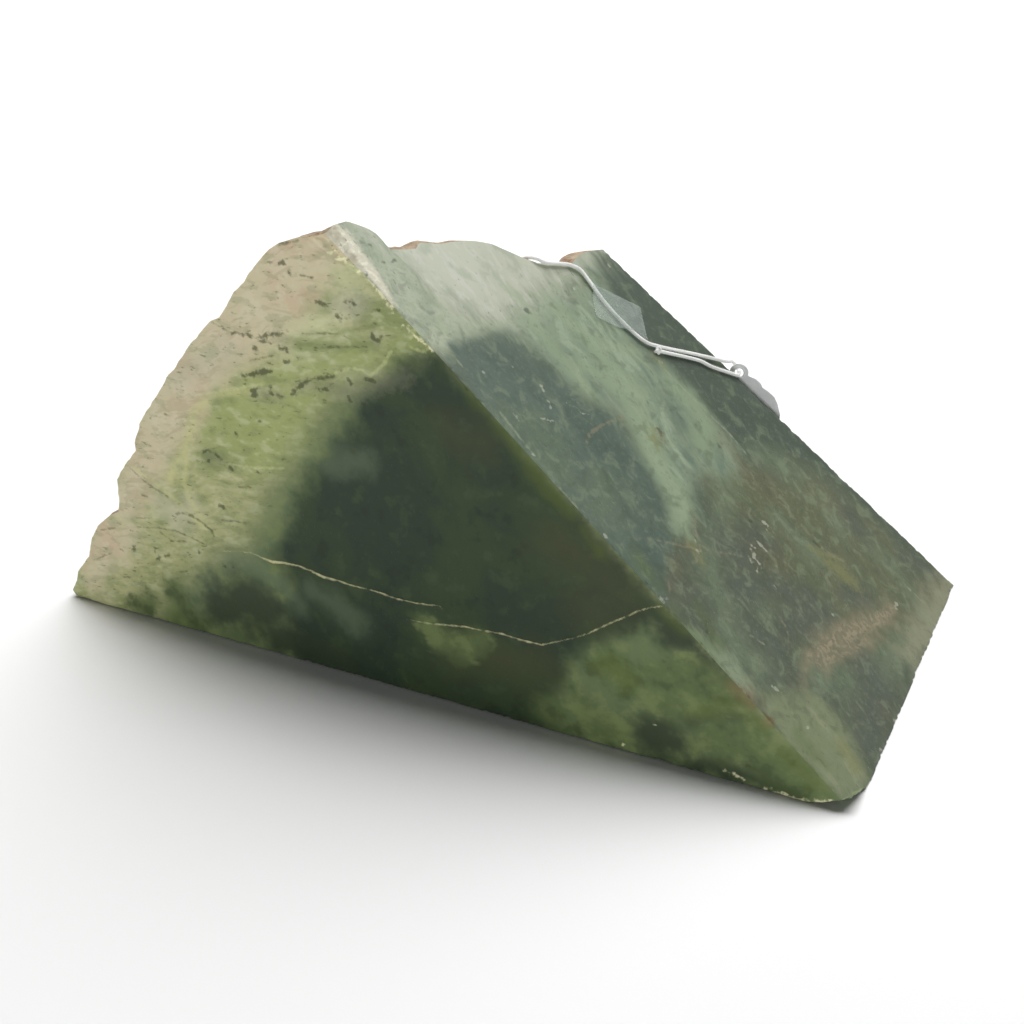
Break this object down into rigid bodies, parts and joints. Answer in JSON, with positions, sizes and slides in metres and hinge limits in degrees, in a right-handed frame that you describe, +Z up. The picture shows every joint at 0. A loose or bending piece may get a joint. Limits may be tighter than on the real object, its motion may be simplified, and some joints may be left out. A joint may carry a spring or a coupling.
{
  "type": "nephrite block",
  "caption": "Wedge-shaped block of green nephrite sawn from a waterworn boulder, with natural rind on its rounded flank and a blank swing tag on a string taped to it.",
  "frame": {"origin": "middle of the stone's bounding box in plan, on the flat sawn base that it rests on", "axes": "+X along the sawn front face towards the thin toe, +Y from the front face to the sawn back, +Z up"},
  "size_m": [0.2468, 0.126, 0.1306],
  "materials": {
    "nephrite": "fine sawn, satin, with a rough natural rind",
    "frosted_tape": "frosted, translucent",
    "white_string": "twisted cotton",
    "tag_card": "matt card"
  },
  "bodies": {
    "root": {"nephrite_block": "nephrite", "tape_strip": "frosted_tape", "tag_string": "white_string", "swing_tag": "tag_card"}
  },
  "joints": []
}
